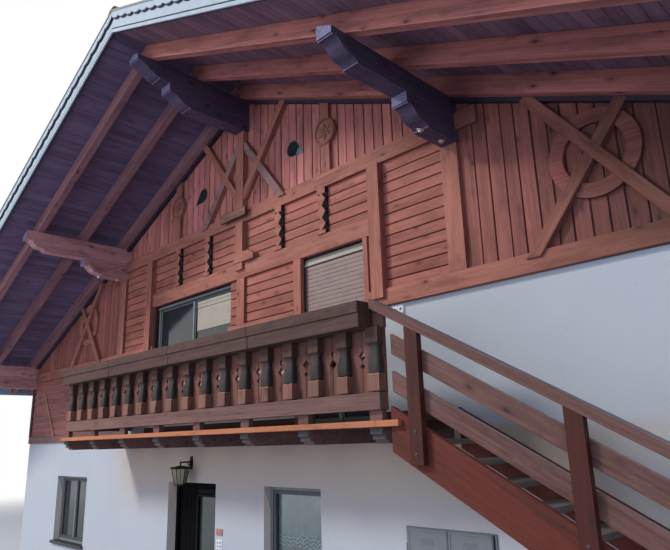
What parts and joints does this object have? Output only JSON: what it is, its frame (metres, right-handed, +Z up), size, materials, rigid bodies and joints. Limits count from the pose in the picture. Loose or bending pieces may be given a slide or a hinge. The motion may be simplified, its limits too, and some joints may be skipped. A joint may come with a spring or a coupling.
{
  "type": "alpine chalet",
  "caption": "Alpine chalet with rendered ground storey, timber gable, carved balcony, outer stair and deep open eaves.",
  "frame": {"origin": "middle of the house plan on the underside of the ground slab", "axes": "+Z up, -Y towards the front gable, +X along the front to the right, towards the outer stair"},
  "size_m": [17.1, 15.34, 7.9394],
  "materials": {
    "render": "lime render, white with a faint blue cast",
    "concrete": "smooth concrete",
    "floor_boards": "oiled boards",
    "facade_timber": "red-brown stain on planed softwood",
    "roof_timber": "dark stain, in the shade of the roof",
    "weathered_timber": "grey-brown weathered boards",
    "deck_edge": "fresh orange-brown stain",
    "verge_timber": "pale painted boards",
    "roof_tiles": "brown concrete tiles",
    "window_paint": "grey painted frames",
    "glass": "clear glass",
    "door_wood": "near-black stained door",
    "steel": "satin steel",
    "dark_metal": "black painted iron",
    "cabinet_metal": "grey sheet metal"
  },
  "bodies": {
    "root": {"ground_slab": "concrete", "front_wall_left": "render", "wall_over_door": "render", "front_wall_middle": "render", "front_wall_right": "render", "upper_masonry_right": "render", "side_wall_right": "render", "side_wall_left": "render", "back_wall": "render", "upper_floor": "floor_boards", "knee_wall_left": "facade_timber", "upper_side_wall_left": "facade_timber", "bay_wall": "facade_timber", "gable_wall_left": "facade_timber", "gable_wall_right": "facade_timber", "gable_wall_top": "facade_timber", "back_gable_wall": "facade_timber", "ridge_purlin": "roof_timber", "mid_purlins": "roof_timber", "eave_purlins": "roof_timber", "wall_plates": "facade_timber", "corbels": "roof_timber", "rafters_left": "roof_timber", "rafters_right": "roof_timber", "roof_boarding_left": "roof_timber", "roof_boarding_right": "roof_timber", "roof_cover_left": "roof_tiles", "roof_cover_right": "roof_tiles", "verge_boards": "verge_timber", "eave_boards": "verge_timber", "base_beams": "facade_timber", "head_beam": "facade_timber", "mid_beam": "facade_timber", "facade_posts": "facade_timber", "corner_posts": "facade_timber", "wheel_ornaments": "facade_timber", "gable_ornaments": "facade_timber", "knee_wall_cladding": "weathered_timber", "balcony_joists": "weathered_timber", "balcony_deck": "deck_edge", "balustrade": "weathered_timber", "balustrade_boards": "weathered_timber", "balustrade_rails": "weathered_timber", "flower_boxes": "weathered_timber", "stair_stringers": "facade_timber", "stair_treads": "weathered_timber", "stair_posts": "facade_timber", "stair_rails": "facade_timber", "window_frames": "window_paint", "side_window_frames": "window_paint", "window_glass": "glass", "door_frame": "door_wood", "lantern": "dark_metal", "meter_cabinet": "cabinet_metal"},
    "entrance_door": {"front_door": "door_wood", "door_glass": "glass", "door_handle": "steel"},
    "cabinet_leaf_left": {"cabinet_door_left": "cabinet_metal"},
    "cabinet_leaf_right": {"cabinet_door_right": "cabinet_metal"}
  },
  "joints": [
    {"name": "entrance_door_swing", "type": "hinge", "parent": "root", "child": "entrance_door", "pos_m": [-1.71, -5.75, 1], "axis": [0, 0, 1], "range_deg": [0, 95]},
    {"name": "cabinet_left_swing", "type": "hinge", "parent": "root", "child": "cabinet_leaf_left", "pos_m": [2.672, -6.029, 1.26], "axis": [0, 0, -1], "range_deg": [0, 110]},
    {"name": "cabinet_right_swing", "type": "hinge", "parent": "root", "child": "cabinet_leaf_right", "pos_m": [3.628, -6.029, 1.26], "axis": [0, 0, 1], "range_deg": [0, 110]}
  ]
}
